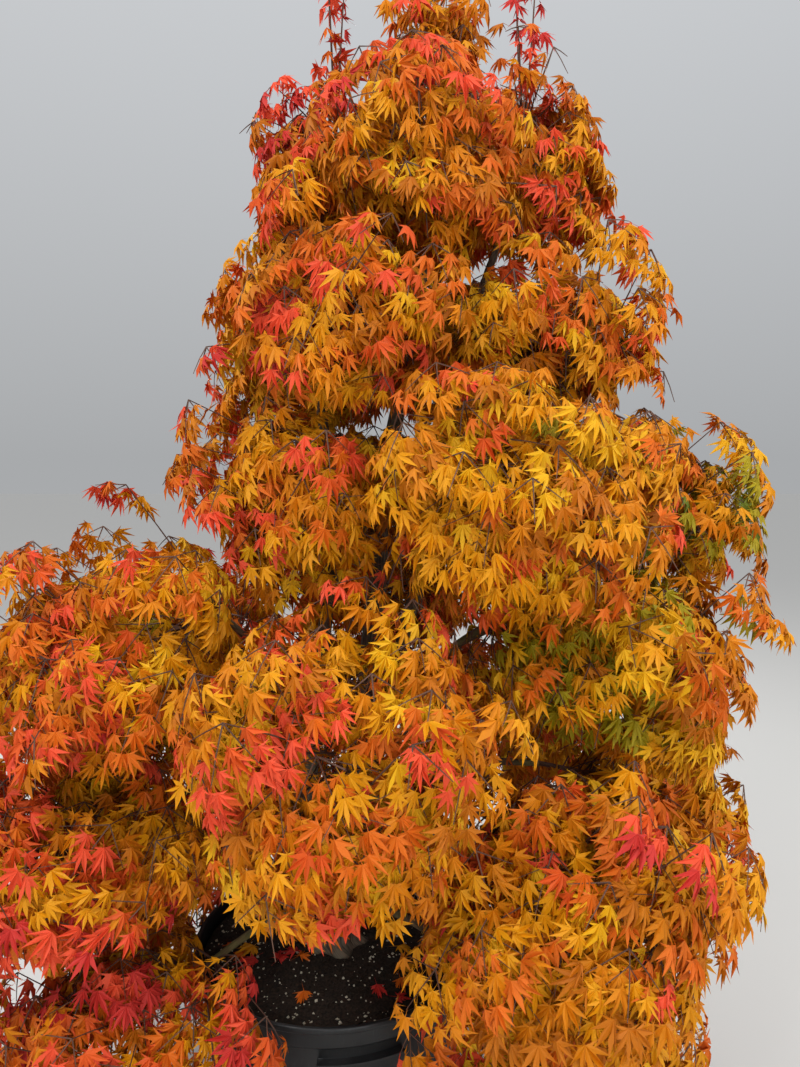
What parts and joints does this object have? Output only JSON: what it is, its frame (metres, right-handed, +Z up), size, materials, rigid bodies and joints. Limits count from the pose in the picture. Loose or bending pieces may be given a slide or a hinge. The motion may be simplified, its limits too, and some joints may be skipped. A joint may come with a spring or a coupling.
{
  "type": "japanese maple tree",
  "caption": "Japanese maple in autumn leaf in a black nursery pot: a short trunk forks into leaders and arching boughs with drooping tiers of golden, orange and coral leaves.",
  "frame": {"origin": "The middle of the pot's flat underside, on the ground the pot stands on.", "axes": "+Z is up, along the height of the tree. -Y is the front, the side with the best view of the pot, and +X is the side the crown leans towards."},
  "size_m": [1.614, 1.4191, 2.6211],
  "materials": {
    "pot": "black blow-moulded plastic, satin, scuffed",
    "potting_mix": "dark crumbly bark mix with white grains",
    "bark": "thin grey-brown bark, greener on young wood",
    "leaf_gold": "golden autumn leaves",
    "leaf_amber": "amber autumn leaves",
    "leaf_orange": "orange autumn leaves",
    "leaf_coral": "coral red autumn leaves",
    "leaf_green": "leaves still yellow-green"
  },
  "bodies": {
    "root": {"nursery_pot": "pot", "potting_mix": "potting_mix", "trunk": "bark", "leader_main": "bark", "leader_left": "bark", "leader_right": "bark", "bough_skirt_1": "bark", "bough_skirt_2": "bark", "bough_skirt_3": "bark", "bough_skirt_4": "bark", "bough_skirt_5": "bark", "bough_low_1": "bark", "bough_low_2": "bark", "bough_low_3": "bark", "bough_low_4": "bark", "bough_low_5": "bark", "bough_low_6": "bark", "bough_shelf_1": "bark", "bough_shelf_2": "bark", "bough_shelf_3": "bark", "bough_shelf_4": "bark", "bough_shelf_5": "bark", "bough_shelf_6": "bark", "bough_middle_1": "bark", "bough_middle_2": "bark", "bough_middle_3": "bark", "bough_middle_4": "bark", "bough_middle_5": "bark", "foliage_skirt_1": "leaf_orange", "foliage_skirt_2": "leaf_amber", "foliage_skirt_3": "leaf_orange", "foliage_skirt_4": "leaf_amber", "foliage_skirt_5": "leaf_orange", "foliage_low_1": "leaf_orange", "foliage_low_2": "leaf_amber", "foliage_low_3": "leaf_gold", "foliage_low_4": "leaf_orange", "foliage_low_5": "leaf_amber", "foliage_low_6": "leaf_gold", "foliage_shelf_1": "leaf_amber", "foliage_shelf_2": "leaf_gold", "foliage_shelf_3": "leaf_amber", "foliage_shelf_4": "leaf_gold", "foliage_shelf_5": "leaf_amber", "foliage_shelf_6": "leaf_gold", "foliage_middle_1": "leaf_gold", "foliage_middle_2": "leaf_green", "foliage_middle_3": "leaf_amber", "foliage_middle_4": "leaf_gold", "foliage_middle_5": "leaf_orange", "foliage_upper_1": "leaf_gold", "foliage_upper_2": "leaf_orange", "foliage_upper_3": "leaf_gold", "foliage_upper_4": "leaf_orange", "foliage_high_1": "leaf_orange", "foliage_high_2": "leaf_amber", "foliage_top_1": "leaf_coral", "foliage_top_2": "leaf_orange", "foliage_top_3": "leaf_coral"}
  },
  "joints": []
}
